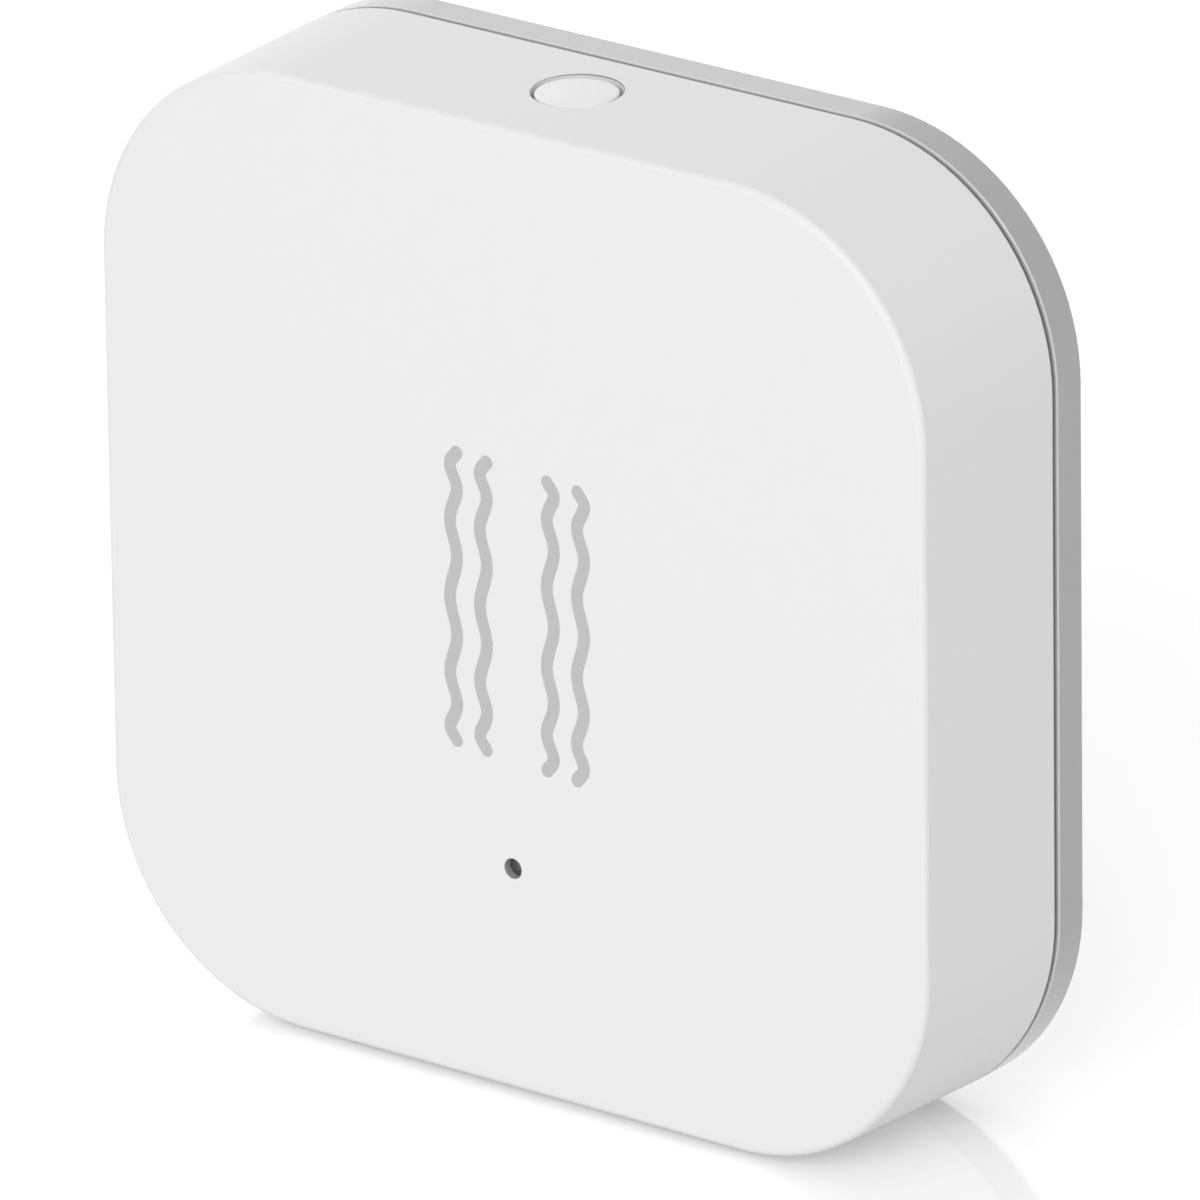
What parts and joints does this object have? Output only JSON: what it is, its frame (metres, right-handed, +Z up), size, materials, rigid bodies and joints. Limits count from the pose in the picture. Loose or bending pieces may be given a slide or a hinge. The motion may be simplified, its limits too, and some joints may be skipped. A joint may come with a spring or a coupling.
{
  "type": "vibration sensor tag",
  "caption": "Square stick-on vibration sensor with a push button, a status light pinhole and a twist-off battery door in its grey back.",
  "frame": {"origin": "on the ground under the middle of the upright body's bounding box", "axes": "+Z up, -Y out of the printed front face, +Y out of the adhesive back, +X to the right seen from the front"},
  "size_m": [0.044, 0.012, 0.044],
  "materials": {
    "shell_white": "satin",
    "cover_grey": "satin",
    "pad_foam": "matte",
    "pipe_clear": "gloss",
    "board_green": "satin",
    "chip_black": "matte",
    "can_metal": "satin",
    "lamp_body": "gloss",
    "capacitor_amber": "satin",
    "capacitor_tan": "satin",
    "resistor_black": "satin",
    "aerial_copper": "satin",
    "cell_steel": "polished",
    "holder_black": "matte",
    "contact_metal": "satin",
    "switch_black": "matte",
    "plunger_white": "satin",
    "screw_steel": "satin",
    "print_grey": "satin"
  },
  "bodies": {
    "housing": {"front_shell": "shell_white", "back_cover": "cover_grey", "adhesive_pad": "pad_foam", "light_pipe": "pipe_clear", "status_lamp": "lamp_body", "circuit_board": "board_green", "radio_chip": "chip_black", "motion_chip": "chip_black", "main_crystal": "can_metal", "clock_crystal": "can_metal", "reservoir_capacitor": "capacitor_amber", "chip_capacitors": "capacitor_tan", "chip_resistors": "resistor_black", "aerial": "aerial_copper", "coin_cell": "cell_steel", "battery_holder": "holder_black", "plus_contact": "contact_metal", "minus_contact": "contact_metal", "switch_housing": "switch_black", "switch_dome": "contact_metal", "switch_frame": "contact_metal", "switch_terminals": "contact_metal"},
    "button": {"button_cap": "shell_white"},
    "plunger": {"switch_plunger": "plunger_white"},
    "door": {"battery_door": "cover_grey"}
  },
  "joints": [
    {"name": "button_press", "type": "slide", "parent": "housing", "child": "button", "axis": [0, 0, -1], "range_m": [0, 0.0003], "stiffness_N_per_m": 2500, "springref_m": -0.00034},
    {"name": "plunger_press", "type": "slide", "parent": "housing", "child": "plunger", "axis": [0, 0, -1], "range_m": [0, 0.0003], "deforming": ["switch_dome"]},
    {"name": "battery_door_turn", "type": "hinge", "parent": "housing", "child": "door", "pos_m": [0, 0.005, 0.022], "axis": [0, 1, 0], "range_deg": [0, 30]}
  ],
  "couplings": [
    {"joint": "plunger_press", "follows": "button_press", "ratio": 1}
  ]
}
